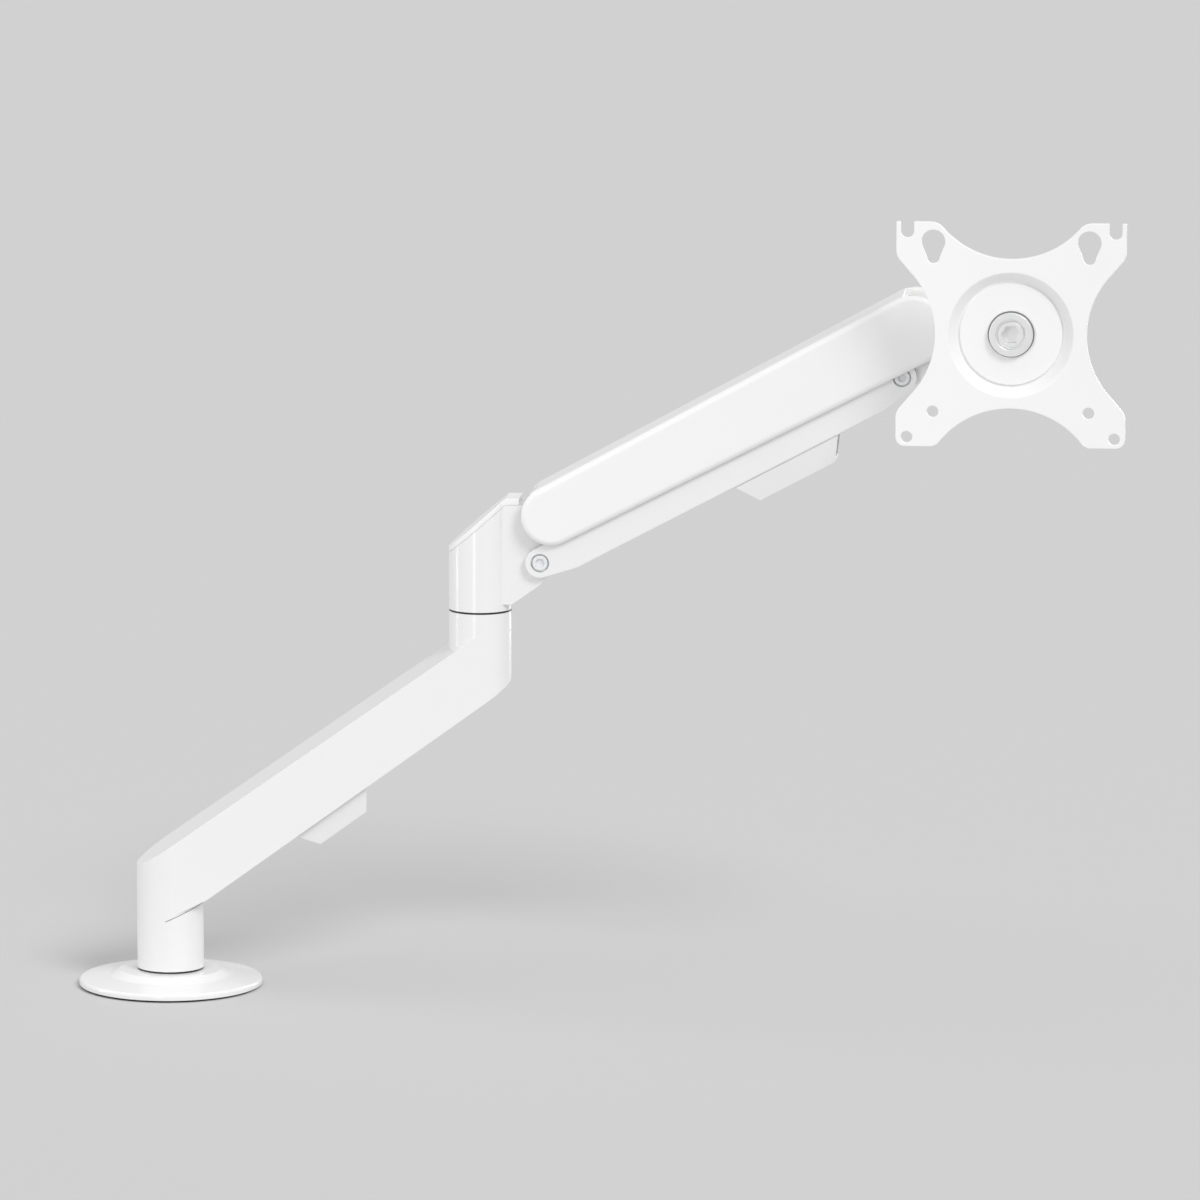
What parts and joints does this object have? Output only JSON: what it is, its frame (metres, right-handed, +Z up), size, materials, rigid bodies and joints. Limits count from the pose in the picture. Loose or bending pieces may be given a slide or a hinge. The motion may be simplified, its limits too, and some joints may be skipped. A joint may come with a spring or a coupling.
{
  "type": "monitor arm",
  "caption": "Desk-mounted monitor arm: round base, swivelling lower arm, gas-sprung parallelogram upper arm, and a swivel and tilt head with a turning VESA plate.",
  "frame": {"origin": "centre of the tapped hole in the base's underside, on the desk surface", "axes": "+Z up along the post, +X the way the upper arm points, -Y the way the plate faces"},
  "size_m": [0.5131, 0.09, 0.3866],
  "materials": {
    "white_casting": "white powder coat, satin",
    "white_sheet": "white powder coat on steel sheet, satin",
    "white_plastic": "white, satin",
    "clip_plastic": "white, satin, slightly flexible",
    "black_plastic": "black sliding washer",
    "bush_plastic": "natural bearing plastic",
    "steel": "machined",
    "white_screw": "white coated screw head",
    "black_steel": "black oxide",
    "gas_black": "black paint, satin",
    "rubber": "matt"
  },
  "bodies": {
    "base": {"base_pad": "rubber", "base_flange": "white_casting", "post_spindle": "steel", "foot_screws": "black_steel", "post_washer": "black_plastic"},
    "lower_arm": {"lower_arm": "white_casting", "post_bushes": "bush_plastic", "elbow_bushes": "bush_plastic", "swivel_grub_screws": "black_steel", "elbow_washer": "black_plastic"},
    "lower_clip": {"lower_cable_clip": "clip_plastic"},
    "knuckle": {"knuckle": "white_casting", "knuckle_cap": "white_plastic", "elbow_spindle": "steel", "lower_hinge_bushes": "bush_plastic", "lower_link_screws": "white_screw", "adjuster_cross_nut": "steel"},
    "adjuster": {"adjuster_screw": "black_steel"},
    "upper_arm": {"arm_frame": "white_sheet", "arm_cover": "white_plastic", "lower_stub_pins": "steel", "upper_stub_pins": "steel", "gas_cylinder": "gas_black", "spring_anchor_pin": "steel", "spring_anchor_spacers": "bush_plastic", "gas_rod_guide": "black_plastic"},
    "gas_rod": {"piston_rod": "steel", "piston": "steel", "rod_fork": "steel"},
    "lower_link": {"lower_link": "white_casting"},
    "upper_clip": {"upper_cable_clip": "clip_plastic"},
    "head": {"head_block": "white_casting", "upper_hinge_bushes": "bush_plastic", "upper_link_screws": "white_screw", "swivel_bushes": "bush_plastic"},
    "swivel": {"swivel_yoke": "white_casting", "swivel_bolt": "steel", "swivel_nut": "steel", "swivel_washers": "black_plastic", "tilt_bolt": "steel", "tilt_nut": "steel", "tilt_washers": "black_plastic"},
    "tilt": {"tilt_block": "white_casting", "plate_washer": "black_plastic", "friction_disc": "white_sheet", "centre_bolt": "steel"},
    "plate": {"vesa_plate": "white_sheet"}
  },
  "joints": [
    {"name": "base_swivel", "type": "hinge", "parent": "base", "child": "lower_arm", "pos_m": [0, 0, 0.028], "axis": [0, 0, 1], "range_deg": [-180, 180]},
    {"name": "lower_clip_pull", "type": "slide", "parent": "lower_arm", "child": "lower_clip", "axis": [0.5656, 0.0946, -0.8192], "range_m": [0, 0.015]},
    {"name": "elbow_swivel", "type": "hinge", "parent": "lower_arm", "child": "knuckle", "pos_m": [0.151, 0.02527, 0.186], "axis": [0, 0, 1], "range_deg": [-180, 180]},
    {"name": "adjuster_turn", "type": "hinge", "parent": "knuckle", "child": "adjuster", "pos_m": [0.1863, 0.02527, 0.224], "axis": [-0.3746, 0, 0.9272], "continuous": true},
    {"name": "lift", "type": "hinge", "parent": "knuckle", "child": "upper_arm", "pos_m": [0.1863, 0.02527, 0.236], "axis": [0, -1, 0], "range_deg": [-66, 15]},
    {"name": "rod_slide", "type": "slide", "parent": "upper_arm", "child": "gas_rod", "axis": [0.8456, 0, 0.5338], "range_m": [-0.003, 0.0128]},
    {"name": "link_hinge", "type": "hinge", "parent": "knuckle", "child": "lower_link", "pos_m": [0.1816, 0.02527, 0.211], "axis": [0, -1, 0], "range_deg": [-66, 15]},
    {"name": "upper_clip_pull", "type": "slide", "parent": "lower_link", "child": "upper_clip", "axis": [0.4695, 0, -0.8829], "range_m": [0, 0.015]},
    {"name": "head_hinge", "type": "hinge", "parent": "upper_arm", "child": "head", "pos_m": [0.36289, 0.02527, 0.32989], "axis": [0, -1, 0], "range_deg": [-15, 66]},
    {"name": "head_swivel", "type": "hinge", "parent": "head", "child": "swivel", "pos_m": [0.4128, 0.02527, 0.332], "axis": [0, 0, 1], "range_deg": [0, 180]},
    {"name": "tilt", "type": "hinge", "parent": "swivel", "child": "tilt", "pos_m": [0.4128, -0.00473, 0.332], "axis": [-1, 0, 0], "range_deg": [-45, 45]},
    {"name": "plate_turn", "type": "hinge", "parent": "tilt", "child": "plate", "pos_m": [0.4128, -0.02473, 0.332], "axis": [0, -1, 0], "continuous": true}
  ],
  "couplings": [
    {"joint": "link_hinge", "follows": "lift", "ratio": 1},
    {"joint": "head_hinge", "follows": "lift", "ratio": -1},
    {"joint": "rod_slide", "follows": "lift", "m_per_rad": -0.01095}
  ]
}
